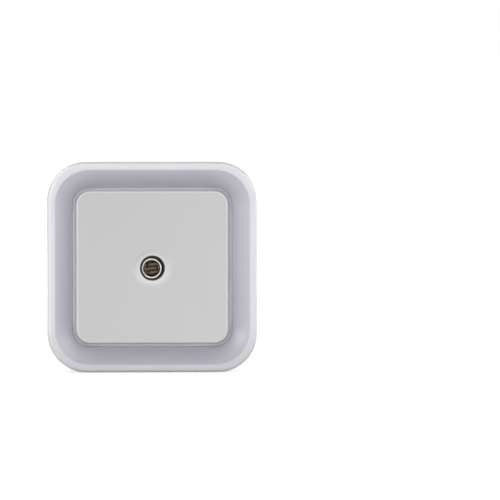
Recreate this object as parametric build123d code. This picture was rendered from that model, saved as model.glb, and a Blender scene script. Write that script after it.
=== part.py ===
from build123d import *

import os
from math import radians, tan

# Plug-in night light with a dusk sensor and a two-pin europlug.
#
# A square opaque panel sits in a dished, translucent frame. A light sensor looks out through a hole near
# its middle. The frame snaps into a stepped rear housing that holds a small mains circuit, and the plug is
# screwed to its back.
#
# Frame: the front faces -Y, +Z is up, and the pins point along +Y. The origin is the middle of the plug's
# end face, where the light meets the wall socket. All sizes are in millimetres.

# ---- Plug, to the flat two-pin standard ----
pin_pitch = 18.8
pin_diameter = 4.0
pin_length = 19.0
pin_core_diameter = 3.2
pin_collar_diameter = 5.2
pin_collar_length = 2.6
pin_edge = 0.3
sleeve_length = 10.0
sleeve_base_diameter = 4.4
plug_length = 35.0
plug_flat = 21.6
plug_width = 13.6
plug_depth = 18.2
plug_wall = 2.2
plug_end_wall = 3.4
plug_edge = 0.35
pin_tail_diameter = 2.4
pin_tail_length = 3.6
pin_boss_diameter = 8.0
pin_boss_length = 3.8

# ---- Plate under the plug ----
plate_length = 37.0
plate_width = 20.8
plate_thickness = 4.4
plate_corner = 2.8
plate_edge = 0.4
tongue_length = 24.4
tongue_width = 8.0
tongue_height = 1.4
tongue_wall = 1.3
tongue_corner = 1.8

# ---- Casing ----
body_side = 65.0
body_corner = 12.0
body_drop = 14.4
wall = 2.0
flange_depth = 9.8
flange_edge = 1.7
box_side = 57.0
box_corner = 8.6
box_depth = 13.4
box_edge = 0.8

# ---- Translucent frame ----
lens_depth = 5.2
lens_inset = 0.2
rim_width = 2.0
rim_round = 1.2
rim_inner_round = 0.3
dish_corner = 11.0
dish_depth = 3.0
dish_mid_depth = 1.15
dish_mid_share = 0.5
dish_corner_ease = 1.2
lip_width = 1.0
lip_height = 0.3
lip_edge = 0.2
frame_wall = 1.8
ledge_width = 2.0
skirt_wall = 1.4
skirt_depth = 3.0
snap_width = 10.0
snap_reach = 1.6
snap_bump = 0.5

# ---- Front panel ----
panel_side = 47.0
panel_corner = 4.3
panel_proud = 0.6
panel_edge = 0.6
panel_seat = 1.1
eye_rim = 0.6
eye_slope = 1.9
eye_depth = 0.4
eye_edge = 0.3
leg_width = 5.0
leg_wall = 1.2
leg_offset = 11.0
leg_hook = 0.7
leg_hook_length = 1.0

# ---- Light sensor ----
shroud_diameter = 7.5
shroud_wall = 0.4
shroud_recess = 0.2
sensor_diameter = 6.1
sensor_thickness = 1.4
sensor_sink = 0.6
sensor_drop = 0.3
sensor_off_x = -0.22
sensor_off_z = -0.08
film_diameter = 5.2
film_thickness = 0.12
track_width = 0.58
track_pitch = 1.22
track_passes = 4
track_turn = 8.0
coating_thickness = 0.35
coating_edge = 0.3
sensor_lead_pitch = 3.4

# ---- Circuit board ----
board_side = 44.0
board_corner = 3.0
board_thickness = 1.6
board_depth = 12.2
post_spacing = 38.4
post_diameter = 5.6
lead_diameter = 0.6
lead_tail = 1.2
solder_diameter = 1.7
solder_height = 0.9
solder_tip_diameter = 0.84

# ---- Screws ----
screw_shank_diameter = 2.2
screw_head_diameter = 4.2
screw_head_height = 1.5
screw_head_edge = 0.7
screw_point = 0.6
screw_recess_diameter = 2.2
screw_recess_width = 0.6
screw_recess_depth = 0.8
board_screw_length = 8.0
plug_screw_length = 5.4
plug_screw_spacing = 32.0

# ---- Components ----
led_diameter = 5.0
led_flange_diameter = 5.8
led_flange_thickness = 1.0
led_length = 8.6
led_setback = 13.5
led_depth = 8.8
led_lead_pitch = 2.54
led_lead_run = 2.5
bend_radius = 0.8

film_cap_length = 13.0
film_cap_width = 6.0
film_cap_height = 10.6
film_cap_edge = 1.2
film_cap_lead_pitch = 10.0
film_cap_row = -15.5

can_diameter = 6.3
can_length = 11.2
can_edge = 0.5
can_row = -4.8
bung_diameter = 5.2
bung_thickness = 0.6
can_lead_pitch = 2.5
can_lead_run = 2.4

diode_diameter = 2.7
diode_length = 5.2
diode_lead_pitch = 10.0
diode_column = 14.4
diode_inner_row = 5.2
diode_row_pitch = 4.4

resistor_column = -15.2
surge_diameter = 3.2
surge_length = 8.2
surge_lead_pitch = 11.4
surge_row = 6.2
bleed_diameter = 2.4
bleed_length = 6.4
bleed_lead_pitch = 10.0
bleed_row = -4.8
divider_row = -9.2
axial_edge = 0.5
standoff = 0.3

transistor_diameter = 4.8
transistor_depth = 3.7
transistor_height = 4.8
transistor_row = 5.2
transistor_lead_pitch = 1.6
transistor_lift = 3.0

wire_diameter = 1.6
wire_pad_spacing = 9.6
wire_pad_row = 10.0
wire_pad_diameter = 2.4
wire_pad_height = 0.4
wire_run_out = 4.0
wire_mouth_run = 0.8

# ---- Clearances ----
slip = 0.1
panel_gap = 0.05
lead_gap = 0.1
screw_pass_gap = 0.2
screw_head_gap = 0.4
wire_mouth_gap = 0.7
near = 1e-4

# ---- Stations along Y, from the plug's end face to the front ----
y_plate = -plug_depth
y_box = y_plate - plate_thickness
y_flange = y_box - box_depth
y_parting = y_flange - flange_depth
y_front = y_parting - lens_depth
y_panel_back = y_front + dish_depth - lip_height + panel_seat
y_panel = y_front + dish_depth - lip_height - panel_proud
y_ledge_back = y_front + dish_depth + frame_wall
y_board = y_front + board_depth
y_board_rear = y_board + board_thickness
y_box_inside = y_box - wall
y_eye = y_panel + eye_depth
y_sensor = y_eye + sensor_sink

lens_side = body_side - 2 * lens_inset
lens_corner = body_corner - lens_inset
recess_side = panel_side + 2 * panel_gap
lip_side = recess_side + 2 * lip_width
shroud_inside = shroud_diameter - 2 * shroud_wall
pilot_diameter = screw_shank_diameter
pass_diameter = screw_shank_diameter + 2 * screw_pass_gap
post_places = [(sx * post_spacing / 2, sz * post_spacing / 2) for sx in (-1, 1) for sz in (-1, 1)]
plug_screw_places = [(-plug_screw_spacing / 2, 0), (plug_screw_spacing / 2, 0)]
diode_outer_row = diode_inner_row + diode_row_pitch
diode_rows = (diode_outer_row, diode_inner_row, -diode_inner_row, -diode_outer_row)
SIDES = (0, 90, 180, 270)


# ---- Drawing helpers ----
def at_y(y):
    """The XZ plane at a station. Its sketches use X and Z, and its normal points to -Y."""
    return Plane.XZ.offset(-y)


def slab(profile, y_rear, y_fore):
    """A profile drawn in X and Z, extruded from its rear station forwards to its fore station."""
    return extrude(at_y(y_rear) * profile, amount=y_rear - y_fore)


def disc(x, z, diameter, y_rear, y_fore):
    """A cylinder along Y."""
    return slab(Pos(x, z) * Circle(diameter / 2), y_rear, y_fore)


def tube(x, z, outer, inner, y_rear, y_fore):
    """A hollow cylinder along Y."""
    return disc(x, z, outer, y_rear, y_fore) - disc(x, z, inner, y_rear, y_fore)


def square(side, corner):
    return RectangleRounded(side, side, corner)


def edges_at(shape, y):
    """The edges that lie wholly in the plane of one station."""
    return shape.edges().filter_by_position(Axis.Y, y - near, y + near)


def turned(shape, degrees):
    """A shape drawn about the body's own axis, turned about it."""
    return shape.rotate(Axis((0, 0, 0), (0, 1, 0)), degrees)


def on_body(shape):
    """Moves a shape drawn about the body's middle down to where the body hangs below the plug."""
    return Pos(0, 0, -body_drop) * shape


def wire_along(points, diameter, radii):
    """A round wire along straight runs joined by tangent arcs."""
    path = FilletPolyline(*points, radius=radii)
    return sweep(Plane(path @ 0, z_dir=path % 0) * Circle(diameter / 2), path)


def largest_radii(points):
    """The largest arc at each corner: 0.45 of the shorter run over the tangent of half the turn."""
    stops = [Vector(*p) for p in points]
    radii = []
    for before, here, after in zip(stops, stops[1:], stops[2:]):
        run_in = here - before
        run_out = after - here
        half_turn = run_in.get_angle(run_out) / 2
        shorter = min(run_in.length, run_out.length)
        radii.append(0.45 * shorter / tan(radians(half_turn)))
    return radii


# ---- Casing ----
def snap_pocket():
    """The shallow pocket in one inner side wall that a snap of the translucent frame springs into."""
    inside = body_side / 2 - wall
    pocket_top = y_parting + skirt_depth + snap_reach
    pocket = Box(2 * (snap_bump + slip), snap_reach + 2 * slip, snap_width + 4 * slip)
    return Pos(inside, pocket_top - snap_reach / 2, 0) * pocket


def rear_housing():
    """Flange and box in one moulding, with screw posts, snap pockets and an opening for the tongue."""
    flange = slab(square(body_side, body_corner), y_flange, y_parting)
    flange = fillet(edges_at(flange, y_flange), flange_edge)
    box = slab(square(box_side, box_corner), y_box, y_flange - wall / 2)
    box = fillet(edges_at(box, y_box), box_edge)
    shell = flange + box
    shell -= slab(square(body_side - 2 * wall, body_corner - wall), y_flange - wall, y_parting)
    shell -= slab(square(box_side - 2 * wall, box_corner - wall), y_box_inside, y_flange - wall)
    for side in SIDES:
        shell -= turned(snap_pocket(), side)
    for x, z in post_places:
        shell += disc(x, z, post_diameter, y_box_inside + wall / 2, y_board_rear)
    for x, z in post_places:
        shell -= disc(x, z, pilot_diameter, y_board_rear + board_screw_length + slip, y_board_rear)
    shell = on_body(shell)
    opening = RectangleRounded(tongue_length + 2 * slip, tongue_width + 2 * slip, tongue_corner + slip)
    shell -= slab(opening, y_box, y_box_inside)
    head_space = screw_head_diameter + 2 * screw_head_gap
    for x, z in plug_screw_places:
        shell -= disc(x, z, pass_diameter, y_box, y_box_inside)
        shell -= disc(x, z, head_space, y_box_inside, y_box_inside - screw_head_height - screw_head_gap)
    return shell


def dish():
    """The hollow of the frame's front, from inside the rim down to the foot of the lip round the panel."""
    top_side = lens_side - 2 * rim_width
    mid_side = top_side + (lip_side - top_side) * dish_mid_share
    low_corner = panel_corner + lip_width
    mid_corner = (dish_corner + low_corner) / 2 + dish_corner_ease / 2
    return loft(
        [
            at_y(y_front) * square(top_side, dish_corner),
            at_y(y_front + dish_mid_depth) * square(mid_side, mid_corner),
            at_y(y_front + dish_depth) * square(lip_side, low_corner),
        ]
    )


def frame_snap():
    """One springy tab of the frame, with its bump."""
    inside = body_side / 2 - wall - slip
    y_root = y_parting + skirt_depth
    tab = Pos(inside - skirt_wall / 2, y_root + snap_reach / 2, 0) * Box(skirt_wall, snap_reach, snap_width)
    bump_profile = Polyline(
        (inside, y_root + slip),
        (inside + snap_bump, y_root + snap_reach / 2),
        (inside, y_root + snap_reach),
        close=True,
    )
    bump = extrude(make_face(bump_profile), amount=snap_width / 2, both=True)
    return tab + bump


def diffuser():
    """The translucent frame: rounded rim, dished face, recess and ledge for the panel, skirt and snaps."""
    body = slab(square(lens_side, lens_corner), y_parting, y_front)
    body = fillet(edges_at(body, y_front), rim_round)
    skirt_side = body_side - 2 * wall - 2 * slip
    skirt_corner = body_corner - wall - slip
    body += slab(square(skirt_side, skirt_corner), y_parting + skirt_depth, y_parting - slip)
    inside = square(skirt_side - 2 * skirt_wall, skirt_corner - skirt_wall)
    body -= slab(inside, y_parting + skirt_depth, y_front + frame_wall) - Pos(0, frame_wall, 0) * dish()
    body -= dish()
    rim_flat = body.faces().filter_by_position(Axis.Y, y_front - near, y_front + near)[0]
    body = fillet(rim_flat.inner_wires()[0].edges(), rim_inner_round)
    y_lip = y_front + dish_depth - lip_height
    lip = slab(square(lip_side, panel_corner + lip_width), y_ledge_back, y_lip)
    body += fillet(edges_at(lip, y_lip), lip_edge)
    body -= slab(square(recess_side, panel_corner + panel_gap), y_panel_back, y_front)
    body -= slab(square(recess_side - 2 * ledge_width, panel_corner), y_parting + skirt_depth, y_front)
    for side in SIDES:
        body += turned(frame_snap(), side)
    return on_body(body)


def panel_leg():
    """One hooked leg of the panel, drawn at +X and reaching behind the frame's ledge."""
    face = recess_side / 2 - ledge_width - slip
    y_tip = y_ledge_back + slip + leg_hook_length
    outline = Polyline(
        (face - leg_wall, y_panel_back - slip),
        (face, y_panel_back - slip),
        (face, y_ledge_back + slip),
        (face + leg_hook, y_ledge_back + slip),
        (face, y_tip),
        (face - leg_wall, y_tip),
        close=True,
    )
    return extrude(make_face(outline), amount=leg_width / 2, both=True)


def sensor_eye():
    """What is cut from the panel for the sensor: a hole in the middle of a shallow round hollow."""
    hole = shroud_diameter / 2 + slip
    floor = hole + eye_rim
    shore = floor + eye_slope
    midway = ((floor + shore) / 2, (y_eye + y_panel) / 2)
    bank = TangentArc((floor, y_eye), midway, tangent=(1, 0))
    bank += TangentArc((shore, y_panel), midway, tangent=(-1, 0))
    rest = Polyline((shore, y_panel), (shore, y_front), (0, y_front), (0, y_eye), (floor, y_eye))
    hollow = revolve(make_face(bank + rest), Axis.Y)
    return Pos(0, 0, -sensor_drop) * (hollow + disc(0, 0, 2 * hole, y_panel_back, y_eye))


def front_panel():
    """The opaque square cover, with the sensor's hole in a shallow hollow and hooked legs behind."""
    body = slab(square(panel_side, panel_corner), y_panel_back, y_panel)
    body = fillet(edges_at(body, y_panel), panel_edge)
    body -= sensor_eye()
    body = fillet(edges_at(body, y_eye).sort_by(SortBy.LENGTH)[0], eye_edge)
    for side in SIDES:
        for offset in (-leg_offset, leg_offset):
            body += turned(Pos(0, 0, offset) * panel_leg(), side)
    return on_body(body)


# ---- Plug ----
def plug_outline(inset=0.0):
    """The europlug's six-sided outline, drawn in from its sides by an even inset."""
    half_length, half_flat, half_width = plug_length / 2, plug_flat / 2, plug_width / 2
    outline = Polyline(
        (-half_length, 0),
        (-half_flat, half_width),
        (half_flat, half_width),
        (half_length, 0),
        (half_flat, -half_width),
        (-half_flat, -half_width),
        close=True,
    )
    face = make_face(outline)
    return offset(face, amount=-inset, kind=Kind.INTERSECTION) if inset else face


def plug_body():
    """Plate, six-sided plug and locating tongue in one hollow moulding."""
    body = slab(plug_outline(), 0, y_plate)
    body = fillet(body.edges().filter_by(Axis.Y) + edges_at(body, 0), plug_edge)
    plate = slab(RectangleRounded(plate_length, plate_width, plate_corner), y_plate, y_box)
    body += fillet(edges_at(plate, y_plate), plate_edge)
    mouth = RectangleRounded(
        tongue_length - 2 * tongue_wall, tongue_width - 2 * tongue_wall, tongue_corner - tongue_wall / 2
    )
    body += slab(RectangleRounded(tongue_length, tongue_width, tongue_corner), y_box, y_box - tongue_height)
    body -= slab(mouth, y_plate, y_box - tongue_height)
    body -= slab(plug_outline(plug_wall), -plug_end_wall, y_plate)
    inside = slab(plug_outline(plug_wall / 2), -plug_end_wall, -plug_end_wall - pin_boss_length)
    for x in (-pin_pitch / 2, pin_pitch / 2):
        y_boss = -plug_end_wall - pin_boss_length
        body += disc(x, 0, pin_boss_diameter, -plug_end_wall + slip, y_boss) & inside
    for x in (-pin_pitch / 2, pin_pitch / 2):
        body -= pin_space(x)
    for x, z in plug_screw_places:
        body -= disc(x, z, pilot_diameter, y_box + plug_screw_length - wall + slip, y_box)
    return body


def pin_collar_end():
    """The station of the pin collar's inner end."""
    return -plug_end_wall - pin_collar_length / 2


def pin_space(x):
    """What a pin fills inside the moulding: core, anchoring collar and tail."""
    y_collar_in = pin_collar_end()
    space = disc(x, 0, pin_core_diameter, 0, y_collar_in)
    space += disc(x, 0, pin_collar_diameter, y_collar_in + pin_collar_length, y_collar_in)
    return space + disc(x, 0, pin_tail_diameter, y_collar_in, -plug_end_wall - pin_boss_length)


def pin(x):
    """A contact pin: round-nosed tip, thinner core under the sleeve, anchoring collar and solder tail."""
    radius = pin_diameter / 2
    tip = disc(x, 0, pin_diameter, pin_length - radius, sleeve_length)
    tip = fillet(edges_at(tip, sleeve_length), pin_edge)
    tip += Pos(x, pin_length - radius, 0) * Sphere(radius)
    y_tail = -plug_end_wall - pin_boss_length - pin_tail_length
    tail = disc(x, 0, pin_tail_diameter, pin_collar_end(), y_tail)
    return tip + disc(x, 0, pin_core_diameter, sleeve_length, 0) + pin_space(x) + tail


def sleeve(x):
    """The insulating sleeve on a pin, a little thicker at its root."""
    outer = loft(
        [
            at_y(0) * Pos(x, 0) * Circle(sleeve_base_diameter / 2),
            at_y(sleeve_length) * Pos(x, 0) * Circle(pin_diameter / 2),
        ]
    )
    return outer - disc(x, 0, pin_core_diameter, sleeve_length, 0)


# ---- Fasteners ----
def screw(x, z, y_seat, length):
    """A pan-head screw with its head towards the front."""
    y_top = y_seat - screw_head_height
    shank = disc(x, z, screw_shank_diameter, y_seat + length, y_seat)
    shank = chamfer(edges_at(shank, y_seat + length), screw_point)
    head = disc(x, z, screw_head_diameter, y_seat, y_top)
    head = fillet(edges_at(head, y_top), screw_head_edge)
    blade = Rectangle(screw_recess_diameter, screw_recess_width)
    cross = blade + Rot(0, 0, 90) * blade
    return head + shank - slab(Pos(x, z) * cross, y_top + screw_recess_depth, y_top)


def board_screws():
    screws = [screw(x, z, y_board, board_screw_length + board_thickness) for x, z in post_places]
    return on_body(Compound(screws))


def plug_screws():
    return Compound([screw(x, z, y_box_inside, plug_screw_length) for x, z in plug_screw_places])


# ---- Light sensor, drawn about the body's middle ----
def sensor_shroud():
    return on_body(tube(0, -sensor_drop, shroud_diameter, shroud_inside, y_board, y_eye + shroud_recess))


def on_sensor(shape):
    """Moves a shape drawn about the body's middle to the sensor's place, a little off its shroud's."""
    return on_body(Pos(sensor_off_x, 0, sensor_off_z - sensor_drop) * shape)


def sensor_disc():
    return on_sensor(disc(0, 0, sensor_diameter, y_sensor + sensor_thickness, y_sensor))


def sensor_track_face():
    """A serpentine from edge to edge of the film: level passes, joined at alternate ends."""
    reach = film_diameter / 2 - track_width
    levels = [track_pitch * (i - (track_passes - 1) / 2) for i in range(track_passes)]
    halves = [max(track_pitch, (reach**2 - level**2) ** 0.5 - track_width / 2) for level in levels]
    face = Sketch()
    for level, half in zip(levels, halves):
        face += Pos(0, level) * SlotCenterToCenter(2 * half, track_width)
    for i in range(track_passes - 1):
        x = min(halves[i], halves[i + 1]) * (1 if i % 2 else -1)
        middle = (levels[i] + levels[i + 1]) / 2
        face += Pos(x, middle) * Rot(0, 0, 90) * SlotCenterToCenter(track_pitch, track_width)
    for level, side in ((levels[0], 1), (levels[-1], 1 if track_passes % 2 == 0 else -1)):
        face += Pos(side * film_diameter / 4, level) * Rectangle(film_diameter / 2, track_width)
    return Rot(0, 0, track_turn) * (face & Circle(film_diameter / 2))


def sensor_track():
    """The light-sensitive track, which parts the two electrodes."""
    return on_sensor(slab(sensor_track_face(), y_sensor, y_sensor - film_thickness))


def sensor_electrodes():
    """Two combs of metal film, one each side of the track."""
    combs = slab(Circle(film_diameter / 2) - sensor_track_face(), y_sensor, y_sensor - film_thickness)
    return on_sensor(Compound(combs.solids()))


def sensor_coating():
    """The clear resin over the disc's face and the films on it."""
    y_top = y_sensor - film_thickness - coating_thickness
    coat = disc(0, 0, sensor_diameter, y_sensor, y_top)
    coat = fillet(edges_at(coat, y_top), coating_edge)
    return on_sensor(coat - disc(0, 0, film_diameter, y_sensor, y_sensor - film_thickness))


def sensor_leads():
    y_tail = y_board_rear + lead_tail
    places = (-sensor_lead_pitch / 2, sensor_lead_pitch / 2)
    leads = [disc(x, 0, lead_diameter, y_tail, y_sensor + sensor_thickness) for x in places]
    return on_sensor(Compound(leads))


# ---- Circuit board and its components, drawn about the body's middle ----
def front_lead_places():
    """Where the leads of the lamps and the sensor pass through the board, as X and Z from its middle."""
    half = sensor_lead_pitch / 2
    row = sensor_off_z - sensor_drop
    places = [(sensor_off_x - half, row), (sensor_off_x + half, row)]
    reach = led_setback - led_lead_run
    half = led_lead_pitch / 2
    for sign in (-1, 1):
        places += [(sign * reach, -half), (sign * reach, half), (-half, sign * reach), (half, sign * reach)]
    return places


def rear_lead_places():
    """Where the leads of the components on the board's rear face pass through it."""
    half = film_cap_lead_pitch / 2
    places = [(-half, film_cap_row), (half, film_cap_row)]
    places += [(can_lead_column(), can_row + sign * can_lead_pitch / 2) for sign in (-1, 1)]
    for column, row, pitch in axial_places():
        places += [(column - pitch / 2, row), (column + pitch / 2, row)]
    places += [(i * transistor_lead_pitch, transistor_row) for i in (-1, 0, 1)]
    return places


def wire_pads():
    return [(-wire_pad_spacing / 2, wire_pad_row), (wire_pad_spacing / 2, wire_pad_row)]


def axial_places():
    """Column, row and lead pitch of each lying component."""
    diodes = [(diode_column, row, diode_lead_pitch) for row in diode_rows]
    resistors = [
        (resistor_column, surge_row, surge_lead_pitch),
        (resistor_column, bleed_row, bleed_lead_pitch),
        (resistor_column, divider_row, bleed_lead_pitch),
    ]
    return diodes + resistors


def can_lead_column():
    return -can_length / 2 - bung_thickness - can_lead_run


def circuit_board():
    body = slab(square(board_side, board_corner), y_board_rear, y_board)
    for x, z in post_places:
        body -= disc(x, z, pass_diameter, y_board_rear, y_board)
    for x, z in front_lead_places() + rear_lead_places():
        body -= disc(x, z, lead_diameter + 2 * lead_gap, y_board_rear, y_board)
    return on_body(body)


def solder_cone(x, z, y_face, facing):
    """Solder round a lead's tail. facing is 1 on the board's rear face and -1 on its front face."""
    y_tip = y_face + facing * solder_height
    foot = at_y(y_face) * Pos(x, z) * Circle(solder_diameter / 2)
    tip = at_y(y_tip) * Pos(x, z) * Circle(solder_tip_diameter / 2)
    return loft([foot, tip]) - disc(x, z, lead_diameter, max(y_face, y_tip), min(y_face, y_tip))


def solder_joints():
    """A cone of solder round each lead's tail, and a low pad under each wire's end."""
    joints = [solder_cone(x, z, y_board_rear, 1) for x, z in front_lead_places()]
    joints += [solder_cone(x, z, y_board, -1) for x, z in rear_lead_places()]
    for x, z in wire_pads():
        joints.append(disc(x, z, wire_pad_diameter, y_board_rear + wire_pad_height, y_board_rear))
    return on_body(Compound(joints))


def led_body():
    """One lamp lying along +X with its dome outwards."""
    y_axis = y_front + led_depth
    lie = Pos(led_setback, y_axis, 0) * Rot(0, 90, 0)
    straight = led_length - led_diameter / 2
    stem = Pos(0, 0, straight / 2) * Cylinder(led_diameter / 2, straight)
    dome = Pos(0, 0, straight) * Sphere(led_diameter / 2)
    foot = Pos(0, 0, led_flange_thickness / 2) * Cylinder(led_flange_diameter / 2, led_flange_thickness)
    return lie * (stem + dome + foot)


def led_legs():
    """Two leads that leave the lamp's foot and turn into the board."""
    y_axis = y_front + led_depth
    x_turn = led_setback - led_lead_run
    y_tail = y_board_rear + lead_tail
    legs = []
    for z in (-led_lead_pitch / 2, led_lead_pitch / 2):
        points = [(led_setback, y_axis, z), (x_turn, y_axis, z), (x_turn, y_tail, z)]
        legs.append(wire_along(points, lead_diameter, [bend_radius]))
    return Compound(legs)


def film_capacitor():
    y_low = y_board_rear + standoff
    block = slab(Rectangle(film_cap_length, film_cap_width), y_low + film_cap_height, y_low)
    block = fillet(block.edges(), film_cap_edge)
    return on_body(Pos(0, 0, film_cap_row) * block)


def film_capacitor_leads():
    y_low = y_board_rear + standoff
    places = (-film_cap_lead_pitch / 2, film_cap_lead_pitch / 2)
    leads = [disc(x, film_cap_row, lead_diameter, y_low, y_board - lead_tail) for x in places]
    return on_body(Compound(leads))


def can_axis():
    """The station of the lying can's middle."""
    return y_board_rear + standoff + can_diameter / 2


def reservoir_capacitor():
    can = Rot(0, 90, 0) * Cylinder(can_diameter / 2, can_length)
    can = fillet(can.edges().filter_by(GeomType.CIRCLE), can_edge)
    return on_body(Pos(0, can_axis(), can_row) * can)


def reservoir_bung():
    bung = Rot(0, 90, 0) * Cylinder(bung_diameter / 2, bung_thickness)
    return on_body(Pos(-can_length / 2 - bung_thickness / 2, can_axis(), can_row) * bung)


def reservoir_leads():
    x_face = -can_length / 2 - bung_thickness
    leads = []
    for z in (can_row - can_lead_pitch / 2, can_row + can_lead_pitch / 2):
        points = [(x_face, can_axis(), z), (can_lead_column(), can_axis(), z)]
        points.append((can_lead_column(), y_board - lead_tail, z))
        leads.append(wire_along(points, lead_diameter, [bend_radius]))
    return on_body(Compound(leads))


def axial_axis(diameter):
    return y_board_rear + standoff + diameter / 2


def axial_body(column, row, diameter, length):
    """The moulded or painted barrel of a lying component."""
    barrel = Rot(0, 90, 0) * Cylinder(diameter / 2, length)
    barrel = fillet(barrel.edges().filter_by(GeomType.CIRCLE), axial_edge)
    return on_body(Pos(column, axial_axis(diameter), row) * barrel)


def axial_leads(column, row, diameter, length, pitch):
    """The two leads of a lying component, bent down into the board."""
    leads = []
    y_axis = axial_axis(diameter)
    for side in (-1, 1):
        x_foot = column + side * pitch / 2
        points = [(column + side * length / 2, y_axis, row), (x_foot, y_axis, row)]
        points.append((x_foot, y_board - lead_tail, row))
        leads.append(wire_along(points, lead_diameter, [bend_radius]))
    return leads


def diode_leads():
    leads = []
    for row in diode_rows:
        leads += axial_leads(diode_column, row, diode_diameter, diode_length, diode_lead_pitch)
    return on_body(Compound(leads))


def resistor_leads():
    leads = axial_leads(resistor_column, surge_row, surge_diameter, surge_length, surge_lead_pitch)
    for row in (bleed_row, divider_row):
        leads += axial_leads(resistor_column, row, bleed_diameter, bleed_length, bleed_lead_pitch)
    return on_body(Compound(leads))


def transistor():
    """A D-shaped moulded case standing on its leads."""
    y_low = y_board_rear + transistor_lift
    front_cut = Pos(0, -transistor_diameter + transistor_depth - transistor_diameter / 2) * Rectangle(
        2 * transistor_diameter, 2 * (transistor_diameter - transistor_depth)
    )
    profile = Circle(transistor_diameter / 2) - front_cut
    case = slab(Pos(0, transistor_row) * profile, y_low + transistor_height, y_low)
    return on_body(case)


def transistor_leads():
    y_low = y_board_rear + transistor_lift
    places = [i * transistor_lead_pitch for i in (-1, 0, 1)]
    leads = [disc(x, transistor_row, lead_diameter, y_low, y_board - lead_tail) for x in places]
    return on_body(Compound(leads))


def mains_wire(side):
    """The insulated wire from a pin's tail, out through the tongue's mouth, to its pad on the board."""
    x_pin = side * pin_pitch / 2
    x_mouth = side * (tongue_length / 2 - tongue_wall - wire_mouth_gap - wire_diameter / 2)
    x_pad = side * wire_pad_spacing / 2
    z_pad = wire_pad_row - body_drop
    y_start = -plug_end_wall - pin_boss_length - pin_tail_length
    y_mouth = y_box - tongue_height - wire_mouth_run
    y_end = y_board_rear + wire_pad_height
    points = [
        (x_pin, y_start, 0),
        (x_mouth, y_mouth, 0),
        (x_pad, y_end + wire_run_out, z_pad),
        (x_pad, y_end, z_pad),
    ]
    return wire_along(points, wire_diameter, largest_radii(points))


# ---- Writing the nodes ----
def nodes():
    """Every piece of the light by its node name."""
    made = {
        "rear_housing": rear_housing(),
        "diffuser": diffuser(),
        "front_panel": front_panel(),
        "plug_body": plug_body(),
        "left_pin": pin(-pin_pitch / 2),
        "right_pin": pin(pin_pitch / 2),
        "left_sleeve": sleeve(-pin_pitch / 2),
        "right_sleeve": sleeve(pin_pitch / 2),
        "plug_screws": plug_screws(),
        "circuit_board": circuit_board(),
        "board_screws": board_screws(),
        "solder_joints": solder_joints(),
        "sensor_shroud": sensor_shroud(),
        "sensor_disc": sensor_disc(),
        "sensor_electrodes": sensor_electrodes(),
        "sensor_track": sensor_track(),
        "sensor_coating": sensor_coating(),
        "sensor_leads": sensor_leads(),
        "film_capacitor": film_capacitor(),
        "film_capacitor_leads": film_capacitor_leads(),
        "reservoir_capacitor": reservoir_capacitor(),
        "reservoir_bung": reservoir_bung(),
        "reservoir_leads": reservoir_leads(),
        "diode_leads": diode_leads(),
        "surge_resistor": axial_body(resistor_column, surge_row, surge_diameter, surge_length),
        "bleed_resistor": axial_body(resistor_column, bleed_row, bleed_diameter, bleed_length),
        "divider_resistor": axial_body(resistor_column, divider_row, bleed_diameter, bleed_length),
        "resistor_leads": resistor_leads(),
        "transistor": transistor(),
        "transistor_leads": transistor_leads(),
        "left_wire": mains_wire(-1),
        "right_wire": mains_wire(1),
    }
    for side, angle in zip(("right", "top", "left", "bottom"), (0, -90, 180, 90)):
        made[f"led_{side}"] = on_body(turned(led_body(), angle))
        made[f"led_{side}_leads"] = on_body(turned(led_legs(), angle))
    for i, row in enumerate(diode_rows, start=1):
        made[f"diode_{i}"] = axial_body(diode_column, row, diode_diameter, diode_length)
    return made


os.makedirs("parts", exist_ok=True)
for name, shape in nodes().items():
    export_step(shape, f"parts/{name}.step")
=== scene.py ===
"""Dresses the plug-in night light: finishes for every piece, a plain pale studio and the camera.

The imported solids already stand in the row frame, in metres: the lit front faces -Y, +Z is up and the pins
point along +Y. Each operator finishes one piece, or a group of like pieces, with its own procedural material.
"""

import math

import bpy
from mathutils import Matrix, Vector


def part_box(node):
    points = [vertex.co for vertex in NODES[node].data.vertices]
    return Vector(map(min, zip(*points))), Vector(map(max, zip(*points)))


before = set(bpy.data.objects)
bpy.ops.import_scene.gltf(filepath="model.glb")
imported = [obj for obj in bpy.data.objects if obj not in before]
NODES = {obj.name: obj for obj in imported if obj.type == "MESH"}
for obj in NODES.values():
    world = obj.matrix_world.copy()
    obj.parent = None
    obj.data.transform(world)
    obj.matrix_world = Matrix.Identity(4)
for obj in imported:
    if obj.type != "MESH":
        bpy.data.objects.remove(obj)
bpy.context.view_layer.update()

bl_info = {
    "name": "Night Light Finisher",
    "version": (1, 0, 0),
    "blender": (4, 5, 0),
    "location": "View3D > Sidebar > Night Light",
    "description": "Finishes a plug-in night light and sets up its studio",
    "category": "Material",
}

MM = 0.001
CM = 0.01


def middle_of(name):
    """The middle of a CAD node's box."""
    low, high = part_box(name)
    return (low + high) / 2


def half_width_of(name):
    """Half of a CAD node's size along X."""
    low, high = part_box(name)
    return (high.x - low.x) / 2


# ---- Places on the light, from its solids ----
FRAME_HALF = half_width_of("diffuser")
PANEL_HALF = half_width_of("front_panel")
FRONT_CENTRE = Vector((0.0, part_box("diffuser")[0].y, middle_of("diffuser").z))
FLANGE_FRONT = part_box("rear_housing")[0].y
FLOOR_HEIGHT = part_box("rear_housing")[0].z
SENSOR_CENTRE = middle_of("sensor_disc")

# ---- Sizes of the finishes' own outlines ----
RIM_WIDTH = 2.0 * MM
DISH_CORNER = 11.0 * MM
PANEL_CORNER = 4.3 * MM
# The dish's painted shade deepens inwards from a rounder outline than its own
SHADE_CORNER = 16.0 * MM
# The panel's painted light turns from its darkest to its lightest tone while X - Z grows by this much
PANEL_PAINTED_LIGHT_SPAN = 100.0 * MM
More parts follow.
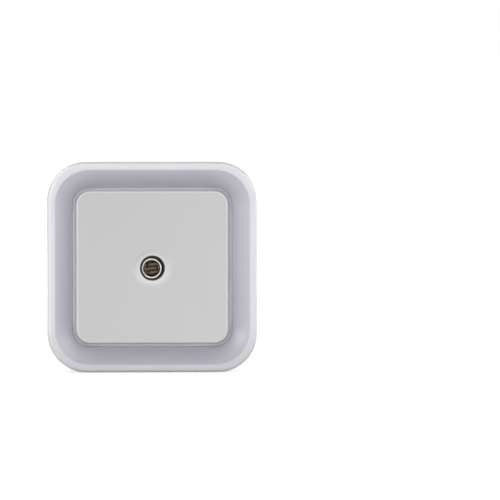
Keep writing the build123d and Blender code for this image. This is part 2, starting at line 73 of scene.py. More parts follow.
# The painted highlight round the sensor hangs a little below the sensor's tube
EYE_HIGHLIGHT_DROP = 0.4 * MM
EYE_HIGHLIGHT_CENTRE = middle_of("sensor_shroud") - Vector((0.0, 0.0, EYE_HIGHLIGHT_DROP))
# Heights of the two circles that leave the film's dark crescents open, from the sensor's middle
DARK_CRESCENT_CIRCLES = (0.30 * MM, -0.22 * MM)

# ---- How the finishes change from place to place, as stops of a ramp: a place and a level ----
# Inwards from the dish's edge, in centimetres
DISH_STARTS = ((0.0, 0.0), (0.05, 1.0))
# Painted shade: the dish darkens towards the panel, and lightens a little again on the lip beside it
DISH_PAINTED_SHADE = ((0.0, 0.0), (0.2, 0.45), (0.48, 1.0), (0.56, 0.7), (0.585, 0.4))
# Painted light on the rim, fading to the side's colour backwards from the rim's front, in centimetres
RIM_LIGHT_FADES = ((0.04, 1.0), (0.15, 0.0))
# Painted shade, darker towards the frame's bottom: downwards from the frame's middle, as a share of its half
# height
LOWER_SIDE_PAINTED_SHADE = ((0.55, 0.0), (0.9, 1.0))
# Outwards from the middle of the painted highlight round the sensor, in centimetres
EYE_HIGHLIGHT_FADES = ((0.41, 1.0), (0.46, 0.4), (0.54, 0.0))
# Painted glint, inwards from the panel's edge, in centimetres
EDGE_GLINT_FADES = ((0.02, 0.7), (0.07, 0.0))
# Outwards from the middle of each circle that leaves the film's dark crescents open, in centimetres
FILM_DARKENS = ((0.23, 0.0), (0.25, 1.0))
# Outwards along the floor, as a share of the white radius
FLOOR_GLOWS = ((0.15, 0.5), (1.0, 1.0))

# ---- Linear tones, and shares of a tone ----
# Tone of the painted shade on the frame's lower side
LOWER_SIDE_SHADE_TONE = (0.86, 0.86, 0.87)
# Shares of the panel's colour for its painted shade at the upper left and painted light at the lower right
PANEL_PAINTED_SHADE_SHARE = 0.945
PANEL_PAINTED_LIGHT_SHARE = 1.055
# Share of the panel's colour for its painted highlight round the sensor and painted glint along its edge
PANEL_HIGHLIGHT_SHARE = 1.22
SPECK_TONE = (0.32, 0.30, 0.28)
TARNISH_TONE = (0.20, 0.17, 0.14)
DARK_CRESCENT_TONE = (0.004, 0.004, 0.004)
RESIN_TONE = (0.96, 0.95, 0.92)
CARD_TONE = (0.01, 0.01, 0.01)
FLOOR_BOUNCE_TONE = (0.5, 0.5, 0.5)
FLOOR_SEEN_TONE = (0.9, 0.9, 0.9)
WHITE = (1.0, 1.0, 1.0)


def linear(red, green, blue):
    """A colour given in 8-bit sRGB, as Blender's linear values."""
    channels = (c / 255 for c in (red, green, blue))
    return tuple(c / 12.92 if c <= 0.04045 else ((c + 0.055) / 1.055) ** 2.4 for c in channels)


# ---- What a user would change ----
def colour(name, description, *levels):
    """A colour property, with its default given in 8-bit sRGB."""
    return bpy.props.FloatVectorProperty(
        name=name,
        description=description,
        size=3,
        subtype="COLOR",
        min=0.0,
        max=1.0,
        default=linear(*levels),
    )


def length(name, description, default):
    return bpy.props.FloatProperty(name=name, description=description, unit="LENGTH", default=default)


def angle(name, description, degrees):
    """An angle property, with its default given in degrees."""
    default = math.radians(degrees)
    return bpy.props.FloatProperty(name=name, description=description, subtype="ANGLE", default=default)


def power(name, description, default):
    return bpy.props.FloatProperty(name=name, description=description, unit="POWER", default=default)


def factor(name, description, default):
    return bpy.props.FloatProperty(
        name=name, description=description, subtype="FACTOR", min=0.0, max=1.0, default=default
    )


class NightLightColours(bpy.types.PropertyGroup):
    """The colours of the light's pieces."""

    casing: colour("Casing", "Warm white of the rear housing and the plug", 236, 231, 227)
    # Painted light: the rim's pale colour stands in for light let in through the translucent frame
    rim: colour("Rim", "Pale edge of the translucent frame, where light gets in", 230, 229, 233)
    side: colour("Frame side", "Lilac white of the translucent frame's side wall", 202, 199, 214)
    dish: colour("Dish", "Lilac of the frame's dished face, just inside its rim", 200, 199, 208)
    # Painted shade: the dish darkens to this colour towards the panel, where shade falls in the recess
    shade: colour("Dish foot", "Darker lilac by the panel, where the dark inside shows", 176, 175, 185)
    panel: colour("Panel", "Light neutral grey of the front panel", 208, 207, 208)
    sleeve: colour("Pin sleeves", "Warm white of the insulating sleeves", 230, 224, 219)
    nickel: colour("Pins", "Nickel plate on the pins", 178, 165, 152)
    tube: colour("Sensor tube", "Black plastic round the light sensor", 20, 22, 22)
    ceramic: colour("Sensor disc", "White ceramic of the light sensor", 252, 251, 248)
    electrode: colour("Sensor metal", "Dull metal combs on the light sensor", 144, 134, 116)
    track: colour("Sensor track", "Light-sensitive track between the combs", 70, 34, 26)
    board: colour("Board", "Bare laminate of the circuit board", 196, 168, 112)
    solder: colour("Solder", "Bright tin solder", 205, 205, 208)
    wire: colour("Leads", "Tinned copper of the leads", 208, 204, 198)
    lamp: colour("Lamps", "Cloudy resin of the four lamps", 236, 236, 230)
    film_capacitor: colour("Film capacitor", "Dipped red-brown resin", 150, 52, 34)
    reservoir: colour("Reservoir capacitor", "Shrunk dark film on the can", 38, 40, 58)
    bung: colour("Bung", "Dull black rubber in the can's mouth", 30, 30, 30)
    epoxy: colour("Diodes and transistor", "Black moulded epoxy", 34, 34, 35)
    resistor: colour("Resistors", "Matt tan paint", 206, 184, 140)
    left_wire: colour("Left mains wire", "Blue insulation", 52, 96, 168)
    right_wire: colour("Right mains wire", "Brown insulation", 112, 74, 50)
    zinc: colour("Screws", "Bright zinc plate", 196, 196, 190)


class NightLightStudio(bpy.types.PropertyGroup):
    """The floor, the lamps and the camera."""

    floor_size: length("Floor size", "Side of the square floor", 40.0)
    lens_length: bpy.props.FloatProperty(
        name="Lens", description="Focal length in millimetres on a 36 mm sensor", min=1.0, default=278.4
    )
    camera_distance: length("Camera distance", "From the flange's front edge to the camera", 1.197)
    camera_side: angle("Camera side", "How far left of straight ahead the camera stands", 1.0)
    camera_rise: angle("Camera rise", "How far above straight ahead the camera stands", 2.2)
    turn: angle("Camera turn", "How far the camera looks to the right of the light's middle", 1.449)
    lift: angle("Camera lift", "How far the camera looks above the light's middle", 0.249)
    key_power: power("Key", "Large lamp ahead and to the right", 7.5)
    fill_power: power("Fill", "Large lamp ahead and to the left", 9.2)
    top_power: power("Top", "Large lamp overhead", 0.6)
    back_power: power("Back", "Large lamp behind, above and to the left", 7.5)
    side_power: power("Side", "Large lamp behind and to the right", 6.0)
    ambient: factor("Ambient", "Strength of the even light from all round", 0.22)
    clear_radius: length("White radius", "How far from the light the floor is plain white", 0.5)


# ---- Node building ----
class Graph:
    """A short way to place and join nodes in one tree."""

    NODE_STEP = 180

    def __init__(self, tree):
        self.tree = tree
        self.column = 0

    def add(self, kind, inputs=None, **settings):
        """A node with its settings and inputs. An input is a plain value, or a socket to join to it."""
        node = self.tree.nodes.new(kind)
        node.location = (self.column, 0)
        self.column += self.NODE_STEP
        for key, value in settings.items():
            setattr(node, key, value)
        for key, value in (inputs or {}).items():
            self.put(node.inputs[key], value)
        return node

    def put(self, socket, value):
        """Joins a socket to the input, or sets the input's own value."""
        if isinstance(value, bpy.types.NodeSocket):
            self.tree.links.new(value, socket)
        elif socket.type == "RGBA":
            socket.default_value = (*value, 1.0)[:4]
        else:
            socket.default_value = value

    def math(self, operation, *values, clamp=False):
        node = self.add("ShaderNodeMath", operation=operation, use_clamp=clamp)
        for socket, value in zip(node.inputs, values):
            self.put(socket, value)
        return node.outputs[0]

    def vector(self, operation, first, second):
        inputs = {0: first, 1: second}
        return self.add("ShaderNodeVectorMath", inputs, operation=operation).outputs["Vector"]

    def mix(self, amount, first, second, blend="MIX"):
        """A blend of two colours. The Mix node keeps its colour sockets at 6 and 7, and their blend at 2."""
        inputs = {"Factor": amount, 6: first, 7: second}
        return self.add("ShaderNodeMix", inputs, data_type="RGBA", blend_type=blend).outputs[2]

    def ramp(self, value, *stops):
        """A map from a value to grey levels. Each stop is a place and a level."""
        node = self.add("ShaderNodeValToRGB", {"Fac": value})
        elements = node.color_ramp.elements
        while len(elements) < len(stops):
            elements.new(0.5)
        for element, (place, level) in zip(elements, stops):
            element.position = place
            element.color = (level, level, level, 1.0)
        return node.outputs["Color"]

    def noise(self, place, scale, detail=2.0, roughness=0.5):
        """Soft noise. scale is how many patches fit in a metre."""
        inputs = {"Vector": place, "Scale": scale, "Detail": detail, "Roughness": roughness}
        return self.add("ShaderNodeTexNoise", inputs).outputs["Fac"]

    def object_place(self):
        return self.add("ShaderNodeTexCoord").outputs["Object"]

    def place_from(self, centre):
        """The place on the piece, measured from a centre."""
        inputs = {"Vector": self.object_place(), "Location": -centre}
        return self.add("ShaderNodeMapping", inputs).outputs["Vector"]


def group(name, inputs, outputs, build):
    """A shader node group, built once.

    inputs holds each input's name, kind and default, and outputs each output's name and kind. build gets the
    graph and the inputs' sockets, and returns a socket for each output.
    """
    found = bpy.data.node_groups.get(name)
    if found:
        return found
    tree = bpy.data.node_groups.new(name, "ShaderNodeTree")
    for label, kind, default in inputs:
        socket = tree.interface.new_socket(label, in_out="INPUT", socket_type=kind)
        socket.default_value = (*default, 1.0)[:4] if kind == "NodeSocketColor" else default
    for label, kind in outputs:
        tree.interface.new_socket(label, in_out="OUTPUT", socket_type=kind)
    graph = Graph(tree)
    start = tree.nodes.new("NodeGroupInput")
    graph.add("NodeGroupOutput", build(graph, start.outputs))
    return tree


SKIN_OUTPUTS = [
    ("Colour", "NodeSocketColor"),
    ("Roughness", "NodeSocketFloat"),
    ("Height", "NodeSocketFloat"),
]


def moulded_grain():
    """Fine moulded texture, slow flow marks and a few specks, for plastics."""
    flow_scale = 55.0
    cloud_scale = 420.0
    speck_scale = 520.0
    speck_patch_scale = 190.0
    speck_radius = 0.055
    speck_patch_level = 0.62
    flow_share = 0.6
    cloud_height = 0.5

    def build(graph, start):
        place = graph.object_place()
        fine = graph.noise(place, start["Grain"], detail=3.0, roughness=0.6)
        flow = graph.noise(place, flow_scale)
        cloud = graph.noise(place, cloud_scale, detail=3.0)
        speck = graph.add("ShaderNodeTexVoronoi", {"Vector": place, "Scale": speck_scale})
        near = graph.math("LESS_THAN", speck.outputs["Distance"], speck_radius)
        patches = graph.noise(place, speck_patch_scale, detail=0.0)
        rare = graph.math("GREATER_THAN", patches, speck_patch_level)
        specks = graph.math("MULTIPLY", graph.math("MULTIPLY", near, rare), start["Specks"])
        slow = graph.math("MULTIPLY", flow, flow_share)
        quick = graph.math("MULTIPLY", cloud, 1.0 - flow_share)
        tone = graph.math("SUBTRACT", graph.math("ADD", slow, quick), 0.5)
        level = graph.math("ADD", graph.math("MULTIPLY", tone, start["Mottle"]), 1.0)
        toned = graph.add("ShaderNodeVectorMath", {0: start["Colour"], "Scale": level}, operation="SCALE")
        speckled = graph.mix(specks, toned.outputs["Vector"], SPECK_TONE)
        gloss = graph.math("MULTIPLY", graph.math("SUBTRACT", cloud, 0.5), start["Sheen Spread"])
        rough = graph.math("ADD", gloss, start["Roughness"], clamp=True)
        height = graph.math("ADD", fine, graph.math("MULTIPLY", cloud, cloud_height))
        return {"Colour": speckled, "Roughness": rough, "Height": height}

    inputs = [
        ("Colour", "NodeSocketColor", (0.8, 0.8, 0.8)),
        ("Mottle", "NodeSocketFloat", 0.03),
        ("Grain", "NodeSocketFloat", 4500.0),
        ("Specks", "NodeSocketFloat", 0.4),
        ("Roughness", "NodeSocketFloat", 0.45),
        ("Sheen Spread", "NodeSocketFloat", 0.12),
    ]
    return group("Moulded Grain", inputs, SKIN_OUTPUTS, build)


def turned_metal():
    """Fine turning rings along Y with soft smudges, for plated pins, screws and leads."""
    ring_scale = (30.0, 9000.0, 30.0)
    smudge_scale = 900.0

    def build(graph, start):
        place = graph.object_place()
        stretched = graph.add("ShaderNodeMapping", {"Vector": place, "Scale": ring_scale}).outputs["Vector"]
        rings = graph.noise(stretched, 1.0, roughness=0.7)
        smudge = graph.noise(place, smudge_scale, detail=3.0, roughness=0.6)
        worn = graph.ramp(smudge, (0.42, 0.0), (0.7, 1.0))
        tarnished = graph.math("MULTIPLY", worn, start["Tarnish"])
        gloss = graph.math("MULTIPLY", graph.math("ADD", rings, worn), start["Sheen Spread"])
        return {
            "Colour": graph.mix(tarnished, start["Colour"], TARNISH_TONE),
            "Roughness": graph.math("ADD", gloss, start["Roughness"], clamp=True),
            "Height": rings,
        }

    inputs = [
        ("Colour", "NodeSocketColor", (0.5, 0.47, 0.43)),
        ("Tarnish", "NodeSocketFloat", 0.15),
        ("Roughness", "NodeSocketFloat", 0.14),
        ("Sheen Spread", "NodeSocketFloat", 0.08),
    ]
    return group("Turned Metal", inputs, SKIN_OUTPUTS, build)


def square_depth():
    """How far a point lies inside a rounded square that is drawn in X and Z."""

    def build(graph, start):
        split = graph.add("ShaderNodeSeparateXYZ", {0: start["Place"]})
        straight = graph.math("SUBTRACT", start["Half Side"], start["Corner"])
        across = [graph.math("ABSOLUTE", split.outputs[axis]) for axis in ("X", "Z")]
        past = [graph.math("SUBTRACT", distance, straight) for distance in across]
        squares = [graph.math("POWER", graph.math("MAXIMUM", side, 0.0), 2.0) for side in past]
        corner = graph.math("SQRT", graph.math("ADD", *squares))
        inner = graph.math("MINIMUM", graph.math("MAXIMUM", *past), 0.0)
        outward = graph.math("ADD", corner, inner)
        return {"Depth": graph.math("SUBTRACT", start["Corner"], outward)}

    inputs = [
        ("Place", "NodeSocketVector", (0.0, 0.0, 0.0)),
        ("Half Side", "NodeSocketFloat", 0.03),
        ("Corner", "NodeSocketFloat", 0.01),
    ]
    return group("Rounded Square Depth", inputs, [("Depth", "NodeSocketFloat")], build)


def depth_in_square(graph, place, half_side, corner):
    """The rounded square's depth at a place, in centimetres."""
    inputs = {"Place": place, "Half Side": half_side, "Corner": corner}
    outline = graph.add("ShaderNodeGroup", inputs, node_tree=square_depth())
    return graph.math("DIVIDE", outline.outputs["Depth"], CM)


def distance_in_xz(graph, place, centre):
    """How far a place lies from a centre, as seen along Y, in centimetres."""
    flat = graph.vector("MULTIPLY", graph.vector("SUBTRACT", place, centre), (1.0, 0.0, 1.0))
    distance = graph.add("ShaderNodeVectorMath", {0: flat}, operation="LENGTH").outputs["Value"]
    return graph.math("DIVIDE", distance, CM)


# ---- Materials ----
def new_material(name):
    material = bpy.data.materials.new(name)
    material.use_nodes = True
    return material, Graph(material.node_tree), material.node_tree.nodes["Principled BSDF"]


def bumped(graph, shader, height, depth):
    """Fine relief of a depth, which is too small to be modelled."""
    bump = graph.add("ShaderNodeBump", {"Height": height, "Distance": depth, "Strength": 1.0})
    graph.put(shader.inputs["Normal"], bump.outputs["Normal"])


def dressed(graph, shader, tree, inputs, depth):
    """Puts a skin group's colour, roughness and relief on a shader."""
    skin = graph.add("ShaderNodeGroup", inputs, node_tree=tree)
    graph.put(shader.inputs["Base Color"], skin.outputs["Colour"])
    graph.put(shader.inputs["Roughness"], skin.outputs["Roughness"])
    bumped(graph, shader, skin.outputs["Height"], depth)


def plastic(
    name, tint, roughness=0.45, grain=4500.0, mottle=0.03, specks=0.3, depth=0.012 * MM, through=None
):
    """Moulded plastic.

    tint is a colour, or a function that builds one in the material's graph. through holds the weight, radius
    and scale with which light gets through.
    """
    material, graph, shader = new_material(name)
    inputs = {
        "Colour": tint(graph) if callable(tint) else tint,
        "Mottle": mottle,
        "Grain": grain,
        "Specks": specks,
        "Roughness": roughness,
    }
    dressed(graph, shader, moulded_grain(), inputs, depth)
    for key, value in (through or {}).items():
        graph.put(shader.inputs[f"Subsurface {key}"], value)
    return material


def metal(name, tint, roughness=0.14, tarnish=0.15, spread=0.08, depth=0.002 * MM):
    """Turned or drawn metal."""
    material, graph, shader = new_material(name)
    inputs = {"Colour": tint, "Tarnish": tarnish, "Roughness": roughness, "Sheen Spread": spread}
    dressed(graph, shader, turned_metal(), inputs, depth)
    shader.inputs["Metallic"].default_value = 1.0
    return material


def clear_resin(name):
    """Clear cast resin with slight waves."""
    haze_scale = 900.0
    wave_scale = 700.0
    material, graph, shader = new_material(name)
    place = graph.object_place()
    graph.put(shader.inputs["Base Color"], RESIN_TONE)
    shader.inputs["Transmission Weight"].default_value = 1.0
    shader.inputs["IOR"].default_value = 1.5
    path = graph.add("ShaderNodeLightPath")
    graph.put(shader.inputs["Alpha"], graph.math("SUBTRACT", 1.0, path.outputs["Is Shadow Ray"]))
    rough = graph.ramp(graph.noise(place, haze_scale), (0.3, 0.02), (0.7, 0.07))
    graph.put(shader.inputs["Roughness"], rough)
    bumped(graph, shader, graph.noise(place, wave_scale, detail=1.0), 0.01 * MM)
    return material


def dark_crescent(graph, place, height):
    """The crescent of the film that a slightly smaller circle, moved up, leaves open."""
    return graph.ramp(distance_in_xz(graph, place, Vector((0.0, 0.0, height))), *FILM_DARKENS)


def sensor_film(name, tint, stain, blotches):
    """A thin dull film, blotched with a second colour and darkened to near black along its upper and lower
    edges.
    """
    blotch_scale = 1900.0
    relief_scale = 6000.0
    material, graph, shader = new_material(name)
    place = graph.place_from(SENSOR_CENTRE)
    clouds = graph.noise(place, blotch_scale, detail=3.0, roughness=0.6)
    blotch = graph.ramp(clouds, (0.46, 0.0), (0.74, 1.0))
    stained = graph.mix(graph.math("MULTIPLY", blotch, blotches, clamp=True), tint, stain)
    film_edge_dark = graph.math("MAXIMUM", *(dark_crescent(graph, place, height) for height in DARK_CRESCENT_CIRCLES))
    graph.put(shader.inputs["Base Color"], graph.mix(film_edge_dark, stained, DARK_CRESCENT_TONE))
    graph.put(shader.inputs["Roughness"], graph.ramp(blotch, (0.0, 0.35), (1.0, 0.6)))
    shader.inputs["Specular IOR Level"].default_value = 0.05
    relief = graph.noise(place, relief_scale, detail=3.0, roughness=0.7)
    bumped(graph, shader, relief, 0.004 * MM)
    return material


def frame_tint(graph, colours):
    """The translucent frame's colour: a rim made pale with painted light, a lilac side, and a dish darkened
    with painted shade towards the panel; all of it darker towards the bottom with painted shade.
    """
    place = graph.place_from(FRONT_CENTRE)
    dish_half = FRAME_HALF - RIM_WIDTH
    inside = depth_in_square(graph, place, dish_half, DISH_CORNER)
    shaded = depth_in_square(graph, place, dish_half, SHADE_CORNER)
    split = graph.add("ShaderNodeSeparateXYZ", {0: place})
    behind = graph.math("DIVIDE", split.outputs["Y"], CM)
    below = graph.math("DIVIDE", split.outputs["Z"], -FRAME_HALF)
    # Painted shade: the dish darkens towards the panel
    dish = graph.mix(graph.ramp(shaded, *DISH_PAINTED_SHADE), colours.dish, colours.shade)
    # Painted light: the rim is paler than the side behind it
    edge = graph.mix(graph.ramp(behind, *RIM_LIGHT_FADES), colours.side, colours.rim)
    whole = graph.mix(graph.ramp(inside, *DISH_STARTS), edge, dish)
    # Painted shade: the frame darkens towards its bottom
    return graph.mix(graph.ramp(below, *LOWER_SIDE_PAINTED_SHADE), whole, LOWER_SIDE_SHADE_TONE, "MULTIPLY")


def panel_tint(graph, tint):
    """The panel's colour: lighter to the lower right with painted light, with a painted highlight round the
    sensor and a painted glint along its edge.
    """
    place = graph.place_from(FRONT_CENTRE)
    # Painted light: the panel turns lighter towards the lower right
    inputs = {0: place, 1: (1.0, 0.0, -1.0)}
    slant = graph.add("ShaderNodeVectorMath", inputs, operation="DOT_PRODUCT").outputs["Value"]
    across = graph.math("ADD", graph.math("DIVIDE", slant, PANEL_PAINTED_LIGHT_SPAN), 0.5)
    shares = (PANEL_PAINTED_SHADE_SHARE, PANEL_PAINTED_LIGHT_SHARE, PANEL_HIGHLIGHT_SHARE)
    dark, light, pale = (tuple(level * share for level in tint) for share in shares)
    # Painted highlight round the sensor
    glow = graph.ramp(distance_in_xz(graph, graph.object_place(), EYE_HIGHLIGHT_CENTRE), *EYE_HIGHLIGHT_FADES)
    # Painted glint along the panel's edge
    edge_glint = graph.ramp(depth_in_square(graph, place, PANEL_HALF, PANEL_CORNER), *EDGE_GLINT_FADES)
    return graph.mix(graph.math("MAXIMUM", glow, edge_glint), graph.mix(across, dark, light), pale)


def paint(material, *names):
    """Puts a material in the slots of CAD nodes."""
    for name in names:
        slots = NODES[name].data.materials
        slots.clear()
        slots.append(material)


# ---- Operators ----
class NIGHTLIGHT_OT_casing(bpy.types.Operator):
    """Finish the rear housing, the plug and the pin sleeves in warm white satin plastic"""

    bl_idname = "nightlight.casing"
    bl_label = "Finish Casing"

    def execute(self, context):
        colours = context.scene.nightlight_colours
        through = {"Weight": 0.12, "Radius": (1.0, 0.9, 0.8), "Scale": 0.8 * MM}
        casing = plastic("casing_plastic", colours.casing, roughness=0.42, through=through)
        paint(casing, "rear_housing", "plug_body")
        sleeve = plastic("sleeve_plastic", colours.sleeve, roughness=0.38, grain=6000.0)
        paint(sleeve, "left_sleeve", "right_sleeve")
        return {"FINISHED"}


class NIGHTLIGHT_OT_frame(bpy.types.Operator):
    """Finish the translucent frame in frosted lilac plastic"""

    bl_idname = "nightlight.frame"
    bl_label = "Finish Translucent Frame"

    def execute(self, context):
        colours = context.scene.nightlight_colours
        material = plastic(
            "frosted_plastic",
            lambda graph: frame_tint(graph, colours),
            roughness=0.36,
            grain=7000.0,
            mottle=0.02,
            specks=0.1,
            depth=0.005 * MM,
            through={"Weight": 0.85, "Radius": (1.0, 1.0, 1.1), "Scale": 2.5 * MM},
        )
        paint(material, "diffuser")
        return {"FINISHED"}


class NIGHTLIGHT_OT_panel(bpy.types.Operator):
    """Finish the opaque front panel in light grey satin plastic"""

    bl_idname = "nightlight.panel"
    bl_label = "Finish Front Panel"

    def execute(self, context):
        tint = context.scene.nightlight_colours.panel
        material = plastic(
            "panel_plastic",
            lambda graph: panel_tint(graph, tint),
            roughness=0.36,
            grain=5000.0,
            mottle=0.035,
            specks=0.15,
            depth=0.01 * MM,
        )
        paint(material, "front_panel")
        return {"FINISHED"}


class NIGHTLIGHT_OT_pins(bpy.types.Operator):
    """Finish the contact pins in nickel plate"""

    bl_idname = "nightlight.pins"
    bl_label = "Finish Pins"

    def execute(self, context):
        paint(metal("nickel_plate", context.scene.nightlight_colours.nickel), "left_pin", "right_pin")
        return {"FINISHED"}


class NIGHTLIGHT_OT_sensor(bpy.types.Operator):
    """Finish the light sensor and its tube"""

    bl_idname = "nightlight.sensor"
    bl_label = "Finish Light Sensor"

    def execute(self, context):
        colours = context.scene.nightlight_colours
        tube = plastic("tube_plastic", colours.tube, roughness=0.5, grain=5000.0, mottle=0.2)
        paint(tube, "sensor_shroud")
        ceramic = plastic("ceramic", colours.ceramic, roughness=0.5, grain=9000.0, mottle=0.04, specks=0.0)
        paint(ceramic, "sensor_disc")
        combs = sensor_film("comb_metal", colours.electrode, stain=colours.track, blotches=1.1)
        paint(combs, "sensor_electrodes")
        track = sensor_film("track_film", colours.track, stain=colours.electrode, blotches=0.5)
        paint(track, "sensor_track")
        paint(clear_resin("clear_resin"), "sensor_coating")
        return {"FINISHED"}


class NIGHTLIGHT_OT_board(bpy.types.Operator):
    """Finish the circuit board, its solder and its leads"""

    bl_idname = "nightlight.board"
    bl_label = "Finish Circuit Board"

    def execute(self, context):
        colours = context.scene.nightlight_colours
        laminate = plastic("laminate", colours.board, roughness=0.55, grain=3000.0, mottle=0.25, specks=0.6)
        paint(laminate, "circuit_board")
        paint(metal("solder", colours.solder, roughness=0.22, tarnish=0.25), "solder_joints")
        leads = sorted(name for name in NODES if name.endswith("_leads"))
        paint(metal("tinned_wire", colours.wire, roughness=0.2, tarnish=0.2), *leads)
        return {"FINISHED"}


class NIGHTLIGHT_OT_components(bpy.types.Operator):
    """Finish the lamps, capacitors, diodes, resistors and transistor"""

    bl_idname = "nightlight.components"
    bl_label = "Finish Components"

    def execute(self, context):
        colours = context.scene.nightlight_colours
        lamp = plastic(
            "lamp_resin",
            colours.lamp,
            roughness=0.15,
            grain=900.0,
            mottle=0.05,
            specks=0.0,
            through={"Weight": 0.6, "Scale": 1.5 * MM},
        )
        paint(lamp, "led_left", "led_right", "led_top", "led_bottom")
        dipped = plastic("dipped_resin", colours.film_capacitor, roughness=0.22, grain=700.0, mottle=0.2)
        paint(dipped, "film_capacitor")
        shrunk = plastic("shrunk_film", colours.reservoir, roughness=0.25, grain=1500.0, mottle=0.2)
        paint(shrunk, "reservoir_capacitor")
        bung = plastic("bung_rubber", colours.bung, roughness=0.7, grain=2500.0, mottle=0.2)
        paint(bung, "reservoir_bung")
        epoxy = plastic("moulded_epoxy", colours.epoxy, roughness=0.5, grain=3500.0, mottle=0.3)
        paint(epoxy, "diode_1", "diode_2", "diode_3", "diode_4", "transistor")
        tan = plastic("resistor_paint", colours.resistor, roughness=0.45, grain=2500.0, mottle=0.12)
        paint(tan, "surge_resistor", "bleed_resistor", "divider_resistor")
        return {"FINISHED"}


class NIGHTLIGHT_OT_wiring(bpy.types.Operator):
    """Finish the mains wires and the screws"""

    bl_idname = "nightlight.wiring"
    bl_label = "Finish Wires and Screws"

    def execute(self, context):
        colours = context.scene.nightlight_colours
        blue = plastic("blue_insulation", colours.left_wire, roughness=0.4, grain=2500.0, mottle=0.08)
        paint(blue, "left_wire")
        brown = plastic("brown_insulation", colours.right_wire, roughness=0.4, grain=2500.0, mottle=0.08)
        paint(brown, "right_wire")
        paint(metal("zinc_plate", colours.zinc, roughness=0.25), "board_screws", "plug_screws")
        return {"FINISHED"}


class NIGHTLIGHT_OT_stage(bpy.types.Operator):
    """Set up the floor, the lamps, the surroundings and the camera"""

    bl_idname = "nightlight.stage"
    bl_label = "Set Up Stage"

    def execute(self, context):
        studio = context.scene.nightlight_studio
        lay_floor(studio)
        light_surroundings(context.scene, studio)
        hang_lamps(studio)
        hang_dark_cards()
        place_camera(context.scene, studio)
        context.scene.view_settings.view_transform = "Standard"
        return {"FINISHED"}


def seen_directly(graph, path):
    """1 for what the camera or a mirror sees, and 0 for the light that is thrown on to other things."""
    return graph.math("MAXIMUM", path.outputs["Is Camera Ray"], path.outputs["Is Glossy Ray"])


def lay_floor(studio):
    """A square floor at the light's lower edge. It shows white, and keeps the light's shadow."""
    bpy.ops.mesh.primitive_plane_add(size=studio.floor_size, location=(0.0, 0.0, FLOOR_HEIGHT))
    floor = bpy.context.object
    floor.name = "floor"
    material, graph, shader = new_material("floor_white")
    material.node_tree.nodes.remove(shader)
    seen = seen_directly(graph, graph.add("ShaderNodeLightPath"))
    matt = graph.mix(seen, FLOOR_BOUNCE_TONE, FLOOR_SEEN_TONE)
    surface = graph.add("ShaderNodeBsdfDiffuse", {"Color": matt})
    away = graph.add("ShaderNodeVectorMath", {0: graph.object_place()}, operation="LENGTH")
    share = graph.math("DIVIDE", away.outputs["Value"], studio.clear_radius)
    glow = graph.math("MULTIPLY", seen, graph.ramp(share, *FLOOR_GLOWS))
    lift = graph.add("ShaderNodeEmission", {"Color": WHITE, "Strength": glow})
    both = graph.add("ShaderNodeAddShader", {0: surface.outputs[0], 1: lift.outputs[0]})
    output = material.node_tree.nodes["Material Output"]
    graph.put(output.inputs["Surface"], both.outputs[0])
    floor.data.materials.append(material)


def light_surroundings(scene, studio):
    """Even light from all round, which cameras, mirrors and glass see as white."""
    world = bpy.data.worlds.new("studio")
    scene.world = world
    world.use_nodes = True
    graph = Graph(world.node_tree)
    background = world.node_tree.nodes["Background"]
    graph.put(background.inputs["Color"], WHITE)
    path = graph.add("ShaderNodeLightPath")
    seen = graph.math("MAXIMUM", seen_directly(graph, path), path.outputs["Is Transmission Ray"])
    strength = graph.math("ADD", studio.ambient, graph.math("MULTIPLY", seen, 1.0 - studio.ambient))
    graph.put(background.inputs["Strength"], strength)


def hang_lamp(name, watts, side, place):
    """A soft square lamp at a place, turned to the middle of the light's front."""
    data = bpy.data.lights.new(name, "AREA")
    data.shape = "SQUARE"
    data.size = side
    data.energy = watts
    lamp = bpy.data.objects.new(name, data)
    bpy.context.scene.collection.objects.link(lamp)
    lamp.location = place
    aim = FRONT_CENTRE - Vector(place)
    lamp.rotation_euler = aim.to_track_quat("-Z", "Y").to_euler()


def hang_lamps(studio):
    hang_lamp("key_lamp", studio.key_power, side=0.8, place=(0.75, -0.95, 0.28))
    hang_lamp("fill_lamp", studio.fill_power, side=0.7, place=(-0.85, -0.8, 0.12))
    hang_lamp("top_lamp", studio.top_power, side=0.8, place=(0.0, -0.1, 1.2))
    hang_lamp("back_lamp", studio.back_power, side=0.8, place=(-0.75, 0.85, 0.75))
    hang_lamp("side_lamp", studio.side_power, side=0.6, place=(0.95, 0.6, 0.3))


def hang_dark_card(name, side, place, upright=False):
    """A dark card that only shows in shiny surfaces, so that metal has something dark to mirror."""
    turn = (math.radians(90) if upright else 0.0, 0.0, 0.0)
    bpy.ops.mesh.primitive_plane_add(size=side, location=place, rotation=turn)
    card = bpy.context.object
    card.name = name
    card.visible_camera = False
    card.visible_diffuse = False
    card.visible_shadow = False
    card.visible_transmission = False
    material, graph, shader = new_material(name)
    graph.put(shader.inputs["Base Color"], CARD_TONE)
    card.data.materials.append(material)


def hang_dark_cards():
    above_floor = FLOOR_HEIGHT + 5.0 * MM
    hang_dark_card("ceiling_card", side=2.6, place=(0.0, 0.3, 1.5))
    hang_dark_card("rear_card", side=1.5, place=(0.3, 1.7, 0.6), upright=True)
    hang_dark_card("front_card", side=0.7, place=(0.0, -1.7, 0.05), upright=True)
    hang_dark_card("low_card", side=1.4, place=(0.0, -1.05, above_floor))


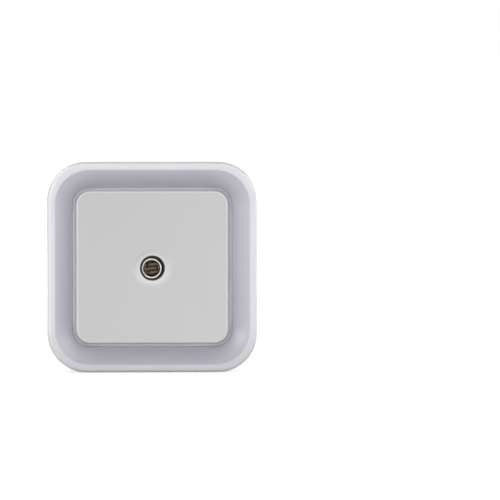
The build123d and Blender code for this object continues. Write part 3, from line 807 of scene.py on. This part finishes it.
def place_camera(scene, studio):
    """A camera in front of the light, a little to the left and above, turned to the right and up."""
    data = bpy.data.cameras.new("camera")
    data.sensor_width = 36.0
    data.lens = studio.lens_length
    data.clip_start = 0.05
    data.clip_end = 50.0
    camera = bpy.data.objects.new("camera", data)
    scene.collection.objects.link(camera)
    face = Vector((0.0, FLANGE_FRONT, FRONT_CENTRE.z))
    ahead = Matrix.Rotation(-studio.camera_side, 3, "Z") @ Matrix.Rotation(-studio.camera_rise, 3, "X")
    camera.location = face + ahead @ Vector((0.0, -studio.camera_distance, 0.0))
    level = Matrix.Rotation(math.radians(90), 3, "X")
    turn = Matrix.Rotation(-studio.camera_side - studio.turn, 3, "Z")
    lift = Matrix.Rotation(studio.lift - studio.camera_rise, 3, "X")
    camera.rotation_euler = (turn @ lift @ level).to_euler()
    scene.camera = camera


OPERATORS = (
    NIGHTLIGHT_OT_casing,
    NIGHTLIGHT_OT_frame,
    NIGHTLIGHT_OT_panel,
    NIGHTLIGHT_OT_pins,
    NIGHTLIGHT_OT_sensor,
    NIGHTLIGHT_OT_board,
    NIGHTLIGHT_OT_components,
    NIGHTLIGHT_OT_wiring,
    NIGHTLIGHT_OT_stage,
)


class NIGHTLIGHT_PT_sidebar(bpy.types.Panel):
    """Lists the night light's steps, colours and studio values"""

    bl_idname = "NIGHTLIGHT_PT_sidebar"
    bl_label = "Night Light"
    bl_space_type = "VIEW_3D"
    bl_region_type = "UI"
    bl_category = "Night Light"

    def draw(self, context):
        for operator in OPERATORS:
            self.layout.operator(operator.bl_idname)
        for holder in (context.scene.nightlight_colours, context.scene.nightlight_studio):
            box = self.layout.box()
            for name in holder.__annotations__:
                box.prop(holder, name)


CLASSES = (NightLightColours, NightLightStudio, *OPERATORS, NIGHTLIGHT_PT_sidebar)


def register():
    for cls in CLASSES:
        bpy.utils.register_class(cls)
    bpy.types.Scene.nightlight_colours = bpy.props.PointerProperty(type=NightLightColours)
    bpy.types.Scene.nightlight_studio = bpy.props.PointerProperty(type=NightLightStudio)


def unregister():
    del bpy.types.Scene.nightlight_studio
    del bpy.types.Scene.nightlight_colours
    for cls in reversed(CLASSES):
        bpy.utils.unregister_class(cls)


def main():
    register()
    for operator in OPERATORS:
        area, name = operator.bl_idname.split(".")
        getattr(getattr(bpy.ops, area), name)()


if __name__ == "__main__":
    main()
